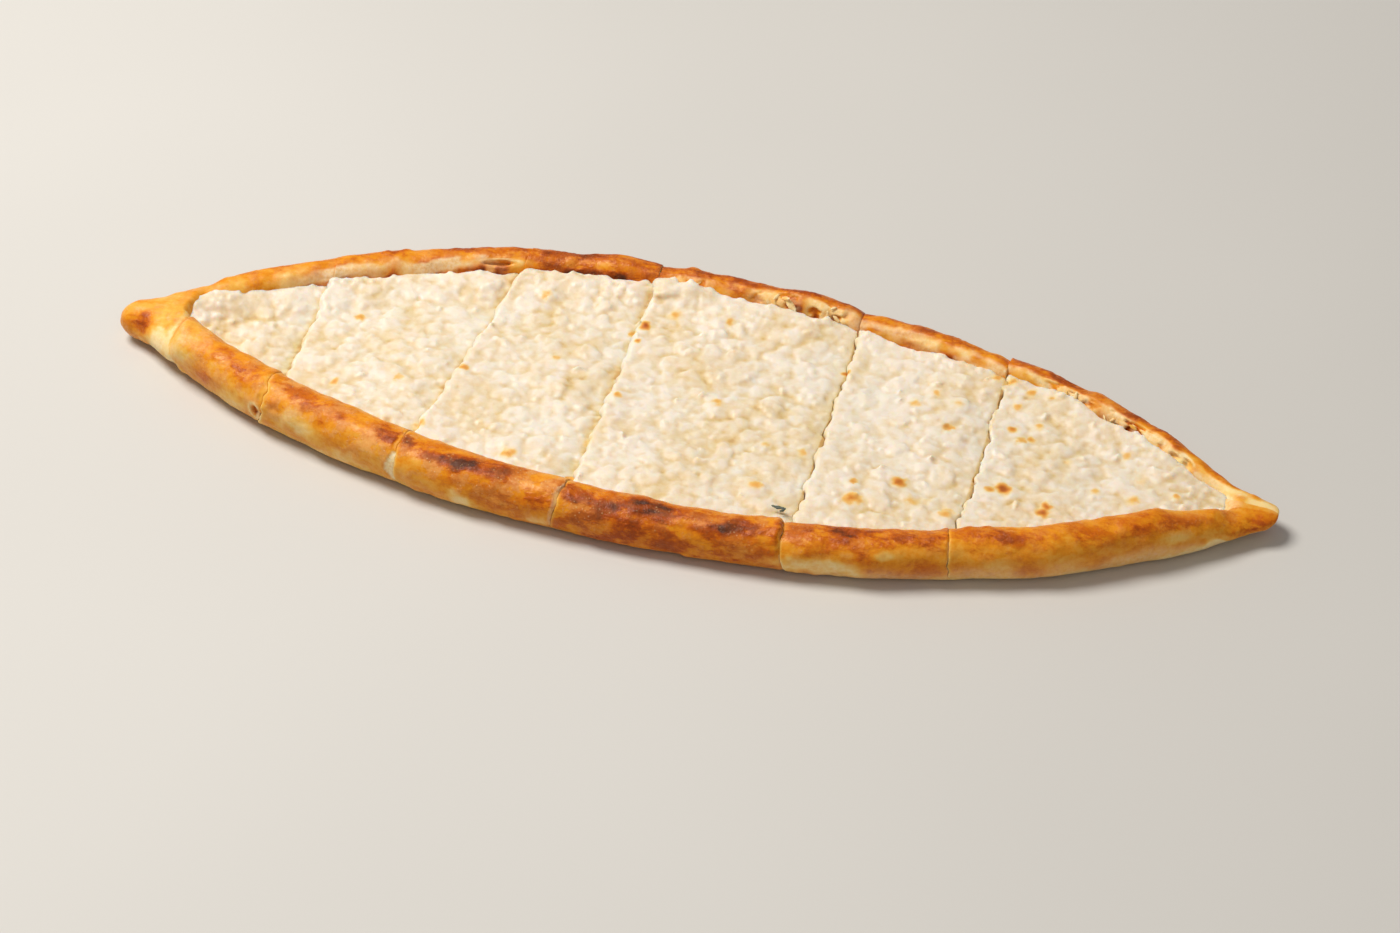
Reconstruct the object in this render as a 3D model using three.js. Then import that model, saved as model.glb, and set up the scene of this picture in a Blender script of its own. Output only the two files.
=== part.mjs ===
// A white cheese pide: a long boat of bread dough with a rolled rim, filled with crumbled
// white cheese and cut across into six slices that still keep the shape of the whole.
// Millimetres, +Z up. X runs from the left tip to the right tip, the front rim faces -Y,
// and the origin is on the surface that the bread lies on, under the middle of its box.
import * as THREE from "three";

// Plan of the boat
const LENGTH = 480;
const WIDTH = 167.5;
const FULLNESS = 2.4; // exponent of the curve from the middle of a side to the tips
const SKEW = 0.04; // share by which the left half is fuller than the right
const BOW = 6.9; // the middle lies this far behind the line through the tips
const LEAN = 8.6; // and leans this much to the back near the left tip
const SETBACK = 7; // brings the middle of the box to y = 0

// Tips: radius in plan, height of the middle, how far the end curls up and over which
// length, and the share of the rolls' radius that is left at the end
const LEFT_TIP = { nub: 8, heart: 8, curl: 1, curlReach: 30, thin: 0.78, thinReach: 30 };
const RIGHT_TIP = { nub: 6.5, heart: 5, curl: 3.5, curlReach: 40, thin: 0.4, thinReach: 45 };
const END_TRIM = 0.1; // the last section stands this far from the very end of a tip

// Rolled rim
const FRONT_ROLL = 9.8; // mean radius of the front roll
const FRONT_DRIFT = 0.4; // it thins by this much from the middle to the right tip
const FRONT_WAVE = 0.7; // and swells and thins along its length
const WAVE_LENGTH = 380;
const WAVE_CREST = -150;
const BACK_ROLL = 7.8;
const BACK_DRIFT = 0.8;
const SQUARENESS = 2.2; // superellipse exponent of a roll that flattens where it rests
const ROLL_STEPS = 8; // facets over a roll, from its outside to its inside
const FOOT_STEPS = 3; // facets from its outside down to where it rests

// Bottom and filling
const DOUGH = 5; // thickness of the dough under the cheese
const FOOT_DRAFT = 0.3; // the inner wall leans out by this much
const NARROWEST = 5; // the hollow is filled with dough where it is narrower than this
const FILL_RUN = 11; // change of width over which the dough rises to the crest of the rim
const SLIT = 1.2; // least distance kept between the feet of the two rolls
const SEAT = 0.3; // clearance between cheese and dough
const CHEESE_LEVEL = 10.4;
const CURD_PITCH = 8; // spacing of the lumps in the cheese
const CURD_RADIUS = [3.6, 6.8];
const CURD_HEIGHT = [0.5, 2.3];

// Cuts, from left to right: place on the x axis, slant in x for each mm of y, how much the
// front rim stands up on the left and sinks on the right, how much the back rim dips on the
// right, and how deep the cheese is pressed in on the left
const CUTS = [
  { at: -161, slant: -0.055, step: 1.3, dip: 0, press: 1.6 },
  { at: -93, slant: 0.077, step: 0.6, dip: 0, press: 1.6 },
  { at: -29, slant: -0.025, step: 0.6, dip: 1.5, press: 1.2 },
  { at: 60, slant: -0.02, step: 2.2, dip: 3, press: 0.5 },
  { at: 123, slant: 0.005, step: 0.6, dip: 0, press: 0.5 },
];
const CUT_WIDTH = 1.2;
const STEP_REACH = 14;
const DIP_REACH = 25;
const PRESS_REACH = 7;

// Spacing of the sections along the bread, and of the points across the cheese
const CRUST_SPACING = 6.5;
const CHEESE_SPACING = 4.6;

const HALF = LENGTH / 2;
const { clamp, lerp, smoothstep } = THREE.MathUtils;

// Outline in plan

const fromTip = (x) => Math.max(HALF - Math.abs(x), 0);
const tipOf = (x) => (x < 0 ? LEFT_TIP : RIGHT_TIP);

// Quarter circle that rounds a tip off: 0 at its very end, 1 past its radius
function rounding(x) {
  const along = Math.min(fromTip(x) / tipOf(x).nub, 1);
  return Math.sqrt(1 - (1 - along) ** 2);
}

function halfWidth(x) {
  const s = clamp(x / HALF, -1, 1);
  const boat = (WIDTH / 2) * (1 - Math.abs(s) ** FULLNESS) * (1 - SKEW * s);
  const nub = tipOf(x).nub * rounding(x);
  return (boat ** 4 + nub ** 4) ** (1 / 4);
}

function midline(x) {
  const s = x / HALF;
  return (1 - s * s) * (BOW - LEAN * s) - SETBACK;
}

const frontEdge = (x) => midline(x) - halfWidth(x);
const backEdge = (x) => midline(x) + halfWidth(x);

// The slant of the cuts spreads evenly over the slices between them, and ends at the tips
const slantStops = [{ at: -HALF, slant: 0 }, ...CUTS, { at: HALF, slant: 0 }];

function slantAt(x) {
  const next = slantStops.findIndex((stop, i) => i > 0 && x <= stop.at);
  const [a, b] = [slantStops[next - 1], slantStops[next]];
  return lerp(a.slant, b.slant, (x - a.at) / (b.at - a.at));
}

// Rolls

const taper = (x) => Math.min(1, lerp(tipOf(x).thin, 1, fromTip(x) / tipOf(x).thinReach));

function frontRadius(x) {
  const wave = Math.cos((2 * Math.PI * (x - WAVE_CREST)) / WAVE_LENGTH);
  return (FRONT_ROLL - (FRONT_DRIFT * x) / HALF + FRONT_WAVE * wave) * taper(x);
}

const backRadius = (x) => (BACK_ROLL - (BACK_DRIFT * x) / HALF) * taper(x);

// How much higher or lower the front rim stands beside a cut
function rimStep(x) {
  let lift = 0;
  for (const { at, step } of CUTS) {
    lift -= step * Math.sign(x - at) * Math.exp(-Math.abs(x - at) / STEP_REACH);
  }
  return lift;
}

// How much lower the back rim lies to the right of a cut
function rimDip(x) {
  let depth = 0;
  for (const { at, dip } of CUTS) {
    if (x > at) depth += dip * Math.exp((at - x) / DIP_REACH);
  }
  return depth;
}

// Cosine and sine of a superellipse
const rounded = (v) => Math.sign(v) * Math.abs(v) ** (2 / SQUARENESS);

// Sizes of the cross-section at station x: the outer edges, the rolls' half widths and half
// heights, the inner walls, and the level of the dough between them
function measures(x) {
  const slant = slantAt(x);
  const frontX = x + slant * frontEdge(x);
  const backX = x + slant * backEdge(x);
  const front = frontEdge(frontX);
  const back = backEdge(backX);
  const frontRoll = frontRadius(frontX);
  const backRoll = backRadius(backX);
  const hollow = back - front - 2 * (frontRoll + backRoll);
  const squeeze = Math.min(1, (back - front - SLIT) / (2 * (frontRoll + backRoll)));
  const frontHeight = frontRoll + rimStep(x) / 2;
  const backHeight = backRoll - rimDip(x) / 2;
  const crest = frontHeight + backHeight;
  const full = smoothstep(NARROWEST - hollow, 0, FILL_RUN);
  return {
    slant,
    hollow,
    front: { edge: front, half: frontRoll * squeeze, height: frontHeight },
    back: { edge: back, half: backRoll * squeeze, height: backHeight },
    frontWall: front + 2 * frontRoll * squeeze,
    backWall: back - 2 * backRoll * squeeze,
    floor: lerp(DOUGH, crest, full),
  };
}

// Points over one roll and under it, from its outside inwards; side is 1 at the front
function rollPoints(roll, floor, side) {
  const at = (angle) => [
    roll.edge + side * roll.half * (1 - rounded(Math.cos(angle))),
    roll.height * (1 + rounded(Math.sin(angle))),
  ];
  const over = [];
  for (let i = 0; i <= ROLL_STEPS; i++) {
    const [y, z] = at((Math.PI * i) / ROLL_STEPS);
    over.push([y, i > ROLL_STEPS / 2 ? Math.max(z, floor) : z]);
  }
  const under = [];
  for (let i = 1; i <= FOOT_STEPS; i++) {
    under.push(at((-Math.PI / 2) * (i / FOOT_STEPS)));
  }
  return { over, under };
}

// How far a tip has curled up off the surface that the bread lies on
function curl(x) {
  const tip = tipOf(x);
  return tip.curl * Math.max(1 - fromTip(x) / tip.curlReach, 0) ** 2;
}

// Cross-section of the crust: upper and lower points, both from front to back
function crustSection(x) {
  const m = measures(x);
  const front = rollPoints(m.front, m.floor, 1);
  const back = rollPoints(m.back, m.floor, -1);
  const { heart } = tipOf(x);
  const height = (z) => heart + (z - heart) * rounding(x) + curl(x);
  const place = ([y, z]) => [x + m.slant * y, y, height(z)];
  const upper = [
    ...front.over,
    [m.frontWall + FOOT_DRAFT, m.floor],
    [m.backWall - FOOT_DRAFT, m.floor],
    ...back.over.reverse(),
  ];
  const lower = [...front.under, ...back.under.reverse()];
  return { upper: upper.map(place), lower: lower.map(place) };
}

// Cheese

// A repeatable random number from 0 to 1 for a cell of the lattice
function chance(i, j, draw) {
  const v = Math.sin(i * 127.1 + j * 311.7 + draw * 74.7) * 43758.5453;
  return v - Math.floor(v);
}

// Height of the lumps at a point: the highest of the round curds near it
function curds(x, y) {
  const ci = Math.floor(x / CURD_PITCH);
  const cj = Math.floor(y / CURD_PITCH);
  let top = 0;
  for (let i = ci - 1; i <= ci + 1; i++) {
    for (let j = cj - 1; j <= cj + 1; j++) {
      const curdX = (i + chance(i, j, 0)) * CURD_PITCH;
      const curdY = (j + chance(i, j, 1)) * CURD_PITCH;
      const radius = lerp(...CURD_RADIUS, chance(i, j, 2));
      const height = lerp(...CURD_HEIGHT, chance(i, j, 3));
      const near = Math.hypot(x - curdX, y - curdY) / radius;
      top = Math.max(top, height * Math.sqrt(Math.max(1 - near * near, 0)));
    }
  }
  return top;
}

// How deep the knife pressed the cheese down, on the left of each cut
function pressed(x) {
  let depth = 0;
  for (const { at, press } of CUTS) {
    if (x < at) depth += press * Math.exp((x - at) / PRESS_REACH);
  }
  return depth;
}

function cheeseSection(x, rows) {
  const m = measures(x);
  const front = m.frontWall + FOOT_DRAFT + SEAT;
  const back = m.backWall - FOOT_DRAFT - SEAT;
  const place = (y, z) => [x + m.slant * y, y, z];
  const upper = [];
  for (let j = 0; j <= rows; j++) {
    const y = lerp(front, back, j / rows);
    upper.push(place(y, CHEESE_LEVEL + curds(x, y) - pressed(x)));
  }
  const bottom = m.floor + curl(x) + SEAT;
  return { upper, lower: [place(front, bottom), place(back, bottom)] };
}

// Lofting

// Triangles that close a section, between its upper and its lower points
function capTriangles({ upper, lower }, first) {
  const triangles = [];
  const low = (k) => first + upper.length + lower.length - 1 - k;
  let j = 0;
  let k = 0;
  while (j < upper.length - 1 || k < lower.length - 1) {
    const upperNext = j < upper.length - 1 ? upper[j + 1][1] : Infinity;
    const lowerNext = k < lower.length - 1 ? lower[k + 1][1] : Infinity;
    if (upperNext <= lowerNext) {
      triangles.push([first + j, first + j + 1, low(k)]);
      j += 1;
    } else {
      triangles.push([first + j, low(k + 1), low(k)]);
      k += 1;
    }
  }
  return triangles;
}

// A closed solid through sections that follow each other along +X
function loft(sections) {
  const ring = sections[0].upper.length + sections[0].lower.length;
  const points = sections.flatMap(({ upper, lower }) => [...upper, ...lower.toReversed()]);
  const last = (sections.length - 1) * ring;
  const endCap = capTriangles(sections.at(-1), last);
  const triangles = [
    ...capTriangles(sections[0], 0),
    ...endCap.map((triangle) => triangle.toReversed()),
  ];
  for (let start = 0; start < last; start += ring) {
    for (let j = 0; j < ring; j++) {
      const a = start + j;
      const b = start + ((j + 1) % ring);
      triangles.push([a, a + ring, b + ring], [a, b + ring, b]);
    }
  }
  const geometry = new THREE.BufferGeometry();
  geometry.setAttribute("position", new THREE.Float32BufferAttribute(points.flat(), 3));
  geometry.setIndex(triangles.flat());
  geometry.computeVertexNormals();
  return geometry;
}

// Stations from one place to another, closer together within the round of a tip
function stations(from, to, spacing) {
  const count = Math.max(2, Math.round((to - from) / spacing));
  const even = Array.from({ length: count + 1 }, (_, i) => lerp(from, to, i / count));
  const nearTip = [0.03, 0.12, 0.3, 0.6];
  const left = nearTip.map((part) => -HALF + part * LEFT_TIP.nub);
  const right = nearTip.map((part) => HALF - part * RIGHT_TIP.nub);
  const extra = [...left, ...right].filter((x) => x > from && x < to);
  const inTip = (x) => fromTip(x) < tipOf(x).nub && x !== from && x !== to;
  return [...even.filter((x) => !inTip(x)), ...extra].sort((a, b) => a - b);
}

// Ends of a slice of crust, from the tip or the cut on its left to the one on its right
function sliceEnds(slice) {
  const from = slice === 0 ? -HALF + END_TRIM : CUTS[slice - 1].at + CUT_WIDTH / 2;
  const to = slice === CUTS.length ? HALF - END_TRIM : CUTS[slice].at - CUT_WIDTH / 2;
  return [from, to];
}

// The cheese of the end slices stops where the hollow between the rolls gets too narrow
function cheeseEnds(slice) {
  let [from, to] = sliceEnds(slice);
  while (measures(from).hollow < NARROWEST) from += 1;
  while (measures(to).hollow < NARROWEST) to -= 1;
  return [from, to];
}

// The slices

const crustLook = { color: 0xd08a3e, roughness: 0.5, metalness: 0 };
const cheeseLook = { color: 0xf2e3c8, roughness: 0.6, metalness: 0 };

function piece(name, sections, look) {
  const mesh = new THREE.Mesh(loft(sections), new THREE.MeshStandardMaterial(look));
  mesh.name = name;
  return mesh;
}

// A crust has a section at each end of its cheese, so that the dough rises only past it
function crustSlice(slice) {
  const [from, to] = sliceEnds(slice);
  const [cheeseFrom, cheeseTo] = cheeseEnds(slice);
  const runs = [[from, cheeseFrom], [cheeseFrom, cheeseTo], [cheeseTo, to]];
  const long = runs.filter(([a, b]) => b > a);
  const places = new Set(long.flatMap(([a, b]) => stations(a, b, CRUST_SPACING)));
  return piece(`crust_${slice + 1}`, [...places].map(crustSection), crustLook);
}

function cheeseSlice(slice) {
  const places = stations(...cheeseEnds(slice), CHEESE_SPACING);
  const widest = Math.max(...places.map((x) => measures(x).hollow));
  const rows = clamp(Math.round(widest / CHEESE_SPACING), 4, 40);
  const sections = places.map((x) => cheeseSection(x, rows));
  return piece(`cheese_${slice + 1}`, sections, cheeseLook);
}

const pide = new THREE.Group();
for (let slice = 0; slice <= CUTS.length; slice++) {
  pide.add(crustSlice(slice), cheeseSlice(slice));
}

export default pide;
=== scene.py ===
"""Looks of a white cheese pide: a boat of golden bread with a rolled, blistered rim, filled with
crumbled baked cheese and cut across into six slices. Sizes are in millimetres until a mesh or a
node takes them.
"""
import math

import bpy
import numpy as np
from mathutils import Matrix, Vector


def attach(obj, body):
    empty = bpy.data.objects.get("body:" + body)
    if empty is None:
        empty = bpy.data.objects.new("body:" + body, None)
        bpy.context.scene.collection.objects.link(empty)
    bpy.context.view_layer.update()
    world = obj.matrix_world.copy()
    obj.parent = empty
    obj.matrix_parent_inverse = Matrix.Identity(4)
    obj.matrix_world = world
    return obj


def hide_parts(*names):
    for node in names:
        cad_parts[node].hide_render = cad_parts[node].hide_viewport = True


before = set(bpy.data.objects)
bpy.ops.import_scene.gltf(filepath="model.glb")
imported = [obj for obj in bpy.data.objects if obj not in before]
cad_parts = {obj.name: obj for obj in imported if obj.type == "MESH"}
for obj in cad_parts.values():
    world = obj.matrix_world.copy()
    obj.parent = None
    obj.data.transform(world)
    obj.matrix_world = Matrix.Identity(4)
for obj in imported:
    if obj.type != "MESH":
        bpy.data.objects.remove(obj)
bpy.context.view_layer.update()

MM = 0.001

# Plan of the boat, close to the solids
LENGTH = 480.0
HALF = LENGTH / 2
WIDTH = 167.5
FULLNESS = 2.4
SKEW = 0.04
BOW = 6.9
LEAN = 8.6
SETBACK = 7.0
LEFT_TIP = dict(nub=8.0, heart=8.0, curl=1.0, curl_reach=30.0, thin=0.78, thin_reach=30.0,
                closed=18.0, corner=9.0)
RIGHT_TIP = dict(nub=6.5, heart=5.0, curl=3.5, curl_reach=40.0, thin=0.4, thin_reach=45.0,
                 closed=16.0, corner=5.0)
END_TRIM = 0.1

# Rolled rim, as in the solids
FRONT_ROLL = 9.8
FRONT_DRIFT = 0.4
FRONT_WAVE = 0.7
WAVE_LENGTH = 380.0
WAVE_CREST = -150.0
BACK_ROLL = 7.8
BACK_DRIFT = 0.8
SQUARENESS = 2.2

# The last slice spreads a little past the even outline, at the back and at the front
LAST_BACK = 3.4
LAST_FRONT = 1.8
LAST_LIFT = 1.6
TIP_SHARE = 0.45

# Swellings of the back rim: place, half length, height
BACK_SWELLS = [(-48, 24, 1.5), (34, 18, 2.4)]

# Lip of the back rim: place, and how much of the roll's inner half is left there
LIP = [(-240, 1.0), (-100, 0.95), (-60, 0.80), (60, 0.75), (110, 0.60), (170, 0.55), (195, 0.75),
       (240, 0.9)]

# Bottom and filling, as in the solids
DOUGH = 5.0
FOOT_DRAFT = 0.3
FILL_RUN = 11.0
CLOSE_EARLY = 20.0
SLIT = 1.2
SEAT = 0.3

# Cuts: place and slant. In the crust: the step of the front rim, the dip of the back rim on the
# right and its sag on the left, how far the left edge is worn round, and how the crack stands off,
# wanders and leans. A golden groove and a strip of bare dough lie on the left of the crack, each
# with a width and with its two ends around the roll. The bare dough is sunk a little and is more
# or less pale. In the cheese: how far the knife pressed the left side down, the rise on the right,
# the gap, how much painted shade darkens the left edge, and how much painted shade darkens the walls
# on the left and on the right.
CUTS = [
    dict(at=-161.0, slant=-0.055, step=0.3, dip=0.0, sag=0.6, worn=0.7, off=0.0, wander=1.6, lean=5.5,
         groove=(2.2, 0.46, 1.10), bare=(3.4, 0.20, 0.52), sunk=0.5, pale=0.60,
         press=3.0, rise=1.5, gap=-1.6, edge_shade=0.55, walls=(0.25, 0.1)),
    dict(at=-93.0, slant=0.077, step=0.2, dip=0.0, sag=0.6, worn=0.4, off=3.0, wander=0.5, lean=0.0,
         groove=(1.4, 0.70, 1.10), bare=(3.8, 0.32, 0.76), sunk=0.5, pale=1.0,
         press=2.8, rise=1.5, gap=-1.6, edge_shade=0.50, walls=(0.25, 0.1)),
    dict(at=-29.0, slant=-0.025, step=0.3, dip=1.5, sag=0.8, worn=0.3, off=0.0, wander=1.0, lean=5.0,
         groove=(0.8, 0.60, 1.00), bare=(2.0, 0.35, 1.05), sunk=0.0, pale=0.35,
         press=2.4, rise=1.2, gap=-1.6, edge_shade=0.45, walls=(0.25, 0.1)),
    dict(at=60.0, slant=-0.02, step=1.7, dip=3.0, sag=3.4, worn=2.6, off=0.0, wander=0.9, lean=-5.0,
         groove=(0.9, 0.40, 1.00), bare=(0.7, 0.25, 0.60), sunk=0.2, pale=0.9,
         press=1.2, rise=0.4, gap=-0.4, edge_shade=0.52, walls=(0.6, 0.3)),
    dict(at=123.0, slant=0.005, step=0.2, dip=0.0, sag=0.8, worn=0.6, off=0.0, wander=1.2, lean=-5.0,
         groove=(0.7, 0.50, 1.00), bare=(0.5, 0.40, 0.90), sunk=0.2, pale=0.6,
         press=1.0, rise=0.3, gap=0.1, edge_shade=0.48, walls=(0.8, 0.4)),
]
SLICES = len(CUTS) + 1
CRUST_CRACK = 0.03
CRACK_DEPTH = 0.6
CRACK_REACH = 8.0
BACK_CRACK = 0.3
GROOVE_DEPTH = 0.45
WORN_RIGHT = 0.22
WORN_BACK = 0.12
STEP_REACH = 14.0
DIP_REACH = 25.0
SAG_REACH = 12.0
PRESS_REACH = 9.0
RISE_REACH = 7.0

# Fineness of the crust, and how far its rolls go around, in half turns from their foot
ROLL_END = 1.5
STATION = 0.8
EDGE_STATIONS = 5
TIP_STATIONS = 24
FRONT_POINTS = 76
FLOOR_POINTS = 8
BACK_POINTS = 62
UNDER_POINTS = 16

# Left fold, where the end of the front roll laps over the tip
FOLD_AT = -211.0
FOLD_STEP = 2.8
FOLD_REACH = 12.0
FOLD_GROOVE = 0.9

# Browning of the rims: place, degrees around the roll from its foot, length, spread in degrees, and
# strength, which is negative where the crust stays pale
FRONT_MARKS = [
    (-227, 200, 6, 45, 0.27), (-217, 165, 6.0, 85, -0.38), (-204, 120, 9, 60, -0.16),
    (-189, 105, 8, 22, 0.16), (-181, 168, 6, 25, 0.16), (-170, 165, 9, 28, 0.16),
    (-176, 75, 8, 20, -0.14), (-143, 105, 10, 26, -0.24), (-146, 185, 10, 25, 0.14),
    (-129, 160, 12, 26, 0.14), (-120, 70, 9, 20, -0.22), (-98, 170, 8, 25, 0.30),
    (-82, 165, 8, 22, 0.12), (-67, 78, 6, 24, -0.34), (-66, 168, 12, 24, 0.38),
    (-52, 170, 8, 22, 0.15), (-41, 115, 10, 22, 0.14), (-36, 70, 6, 20, -0.30),
    (-21, 170, 7, 24, 0.32), (-10, 160, 7, 20, 0.20), (-1, 120, 10, 20, 0.18),
    (9, 172, 13, 25, 0.38), (30, 140, 8, 18, 0.30), (44, 165, 9, 24, 0.28),
    (56, 160, 6, 22, 0.20), (78, 84, 22, 24, -0.34), (86, 122, 4, 9, -0.20),
    (87, 182, 13, 24, 0.28), (102, 122, 6, 11, -0.22), (111, 170, 11, 22, 0.18),
    (141, 165, 12, 24, 0.14), (143, 100, 9, 18, -0.12), (176, 150, 9, 26, 0.10),
    (190, 150, 5, 24, 0.20), (204, 150, 8, 26, 0.10), (224, 62, 18, 30, -0.60),
    (230, 175, 8, 70, 0.14), (213, 258, 5, 26, -0.55), (205, 118, 6, 22, -0.18),
]
BACK_MARKS = [
    (-190, 165, 12, 30, 0.10), (-150, 170, 14, 28, 0.14), (-112, 160, 10, 26, 0.16),
    (-73, 165, 11, 28, 0.26), (-56, 160, 8, 24, 0.20), (-5, 165, 12, 26, 0.18),
    (22, 160, 10, 24, 0.14), (45, 165, 9, 26, 0.20), (96, 160, 14, 26, 0.14),
    (150, 165, 13, 28, 0.18), (186, 160, 12, 28, 0.14),
]

# How browned the rims are along the bread, and how dry and dull the front rim is, which also stands as
# painted sheen: place, share
FRONT_BAKE = [(-215, 0.31), (-190, 0.32), (-150, 0.37), (-110, 0.39), (-40, 0.44), (60, 0.47),
              (100, 0.47), (200, 0.37), (240, 0.40)]
FRONT_DRYNESS_AND_SHEEN = [(-240, 0.9), (-200, 0.7), (-60, 1.0), (20, 0.75), (80, 0.3), (160, 0.24), (240, 0.35)]
BACK_CREST = [(-160, 0.38), (-110, 0.46), (-90, 0.50), (-60, 0.55), (-30, 0.53), (20, 0.51),
              (60, 0.50), (240, 0.47)]
BACK_FLANK = [(-200, 0.32), (-120, 0.43), (-80, 0.51), (-40, 0.49), (0, 0.45), (60, 0.43),
              (100, 0.39), (130, 0.24), (240, 0.17)]
PLAIN_BAKE = 0.3
PLAIN_DRYNESS_AND_SHEEN = 0.4
UNDER_BAKE = 0.40
UNDER_MOTTLE = 0.28
CREST_TINT = 0.06
FOOT_PALE = 0.22
# Browning and painted shade on the lower half of the front roll, in the middle of the bread
MIDDLE_LOW_TOAST_AND_SHADE = 0.14
# Painted shade inside the holes of the front rim
HOLE_PAINTED_SHADE = 0.3
TORN_PALE = 0.2
SHADE_DARK = 0.35

# Bare dough between the rims by the right tip: where it starts, is full, fades and ends
BARE_FLOOR = (190.0, 205.0, 216.0, 228.0)
BARE_FLOOR_SHARE = 0.85

# Crevices between the cheese and the back rim: place, half length, width
CREVICES = [(-138, 28, 0.9), (-105, 14, 2.0), (-57, 24, 1.8), (33, 16, 1.8), (88, 18, 1.3),
            (168, 20, 1.0)]

# Torn dough along the back lip: place, half length, density
TEARS = [(-16, 12, 0.4), (20, 14, 0.6), (44, 12, 0.8), (86, 10, 0.2), (150, 16, 0.6),
         (178, 18, 0.9)]
LACE_DEPTH = 1.7

# Holes in the rims: place, degrees around the roll, half length, half spread, depth
FRONT_HOLES = [(-162.0, 90, 2.0, 12, 1.6)]
BACK_HOLES = [(-98, 222, 6.5, 10, 2.6), (196, 232, 2.4, 16, 1.9), (202, 228, 2.0, 22, 1.9)]

# Relief of the crust, in metres
CRUST_RELIEF = {
    "Swell size": 0.024, "Swell height": 0.001, "Dimple size": 0.0085, "Dimple height": 0.00055,
    "Blister size": 0.0085, "Blister height": 0.00055, "Wrinkle size": 0.0042,
    "Wrinkle height": 0.00036,
}

# Bed of cheese
CHEESE_STEP = 1.5
CHEESE_ROWS = 80
CHEESE_REST = 8.6
LEFT_HEAP = 3.2
RIGHT_FALL = 2.4

# Back edge of the cheese: place, how far it laps onto the lip, and how high it climbs there
BACK_EDGE = [
    (-212, 0.70, 5.0), (-185, 0.55, 4.0), (-166, 0.45, 3.4), (-156, 0.20, 2.6), (-120, 0.20, 2.6),
    (-90, 0.30, 3.6), (-50, 0.40, 4.4), (20, 0.30, 3.0), (60, 0.15, 1.6), (110, 0.20, 1.8),
    (130, 0.20, 2.0), (155, 0.50, 3.4), (185, 0.50, 3.0), (205, 0.10, 1.0),
]

# Single lumps of cheese: place, radius, height
LUMPS = [(64, 65, 4.5, 2.2), (-24, 66, 4.5, 1.4), (-17, 67, 4.5, 1.3), (-10, 68, 4.5, 1.3)]

# Toasted spots on the cheese: place, radius, strength
TOAST_SPOTS = [
    (-144, 19, 2.4, 0.60), (-139, -24, 2.0, 0.60), (-118, 8, 3.3, 0.20), (-97, -41, 2.8, 0.50),
    (-91, -3, 1.8, 0.60), (-57, -49, 2.8, 0.60), (-57, 14, 2.4, 0.45), (-28, 44, 2.2, 0.90),
    (-28, 33, 1.6, 0.65), (-26, -3, 2.0, 0.55), (-18, 54, 2.4, 0.55), (6, 54, 2.2, 0.55),
    (14, 4, 2.6, 0.50), (42, -42, 2.8, 0.50), (55, -17, 2.4, 0.45), (59, 37, 1.8, 0.75),
    (80, -40, 3.7, 0.70), (95, -25, 2.8, 0.80), (102, -34, 3.3, 0.45), (91, 24, 2.8, 0.45),
    (116, -38, 3.3, 0.50), (120, 48, 2.8, 0.55), (126, 46, 2.8, 0.60), (132, 19, 2.0, 0.70),
    (135, -18, 2.8, 0.95), (130, -20, 2.0, 0.65), (135, 42, 2.4, 0.60), (140, 15, 2.0, 0.60),
    (152, -28, 2.4, 0.85), (153, -24, 2.0, 0.75), (170, -10, 2.4, 0.45), (186, 1, 4.1, 0.30),
    (185, -12, 2.4, 0.50), (201, -6, 2.0, 0.55), (131, 32, 2.0, 0.55), (142, 23, 2.0, 0.50),
    (156, 5, 2.6, 0.30), (178, 14, 2.4, 0.45), (98, 32, 2.0, 0.50), (108, 27, 3.0, 0.35),
]
SPOT_RISE = 0.9

# Curds, in metres: wide flat ones, small crumbs, and round ones in the corners and by the back rim.
# Flat is their height as a share of their width, and Sink is how deep they lie in the bed.
CURD_SIZES = ("Spacing", "Smallest", "Largest", "Flat", "Sink", "Tilt")
CURD_BATCHES = [
    ("field", (0.0065, 0.0030, 0.0075, 0.22, 0.08, 0.08)),
    ("crumbs", (0.0034, 0.0010, 0.0024, 0.42, 0.12, 0.25)),
    ("corner", (0.0036, 0.0015, 0.0028, 0.70, 0.20, 0.30)),
]
CURD_DENSITY = 900000.0
CURD_VOXEL = 0.62
CURD_SOFTENING = 10
CRUMBLE = {"Lump size": 0.0080, "Lump height": 0.00040, "Crumb size": 0.0026, "Crumb height": 0.00012}

# Flakes of torn dough, in metres
FLAKES = {"Spacing": 0.0038, "Shortest": 0.0016, "Longest": 0.0046, "Thickness": 0.0005}
FLAKE_DENSITY = 600000.0
FLAKE_WIDTH = 0.40
FLAKE_VOXEL = 0.4
FLAKE_SOFTENING = 2

# Dried leaves: place, half length, half width, half thickness and turn in degrees
LEAVES = [(54.0, -54.4, 10.9, 2.6, 0.8, 0.4, -12), (56.2, -55.6, 10.9, 1.5, 0.6, 0.35, 40)]
LEAF_CURL = 0.4

# Camera of the photo, in metres and degrees
CAMERA_AT = (0.25848, -0.90372, 0.76402)
CAMERA_TILT = 50.0
CAMERA_TURN = 15.5
FOCAL_LENGTH = 77.14
SENSOR = 36.0


# Small sums

def smooth(low, high, value):
    """Goes smoothly from 0 at low to 1 at high."""
    t = np.clip((value - low) / (high - low), 0.0, 1.0)
    return t * t * (3.0 - 2.0 * t)


def between(start, full, fade, end, value):
    """Goes smoothly from 0 at start to 1 at full, and from 1 at fade back to 0 at end."""
    return smooth(start, full, value) * smooth(end, fade, value)


def bell(off, width):
    """1 in the middle, and almost 0 at twice the width."""
    return np.exp(-(off / width) ** 2)


def lerp(a, b, t):
    return a + (b - a) * t


def profile(x, stops, column=1):
    """A value that changes evenly from stop to stop along the bread."""
    table = np.array(stops, float)
    return np.interp(x, table[:, 0], table[:, column])


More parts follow.
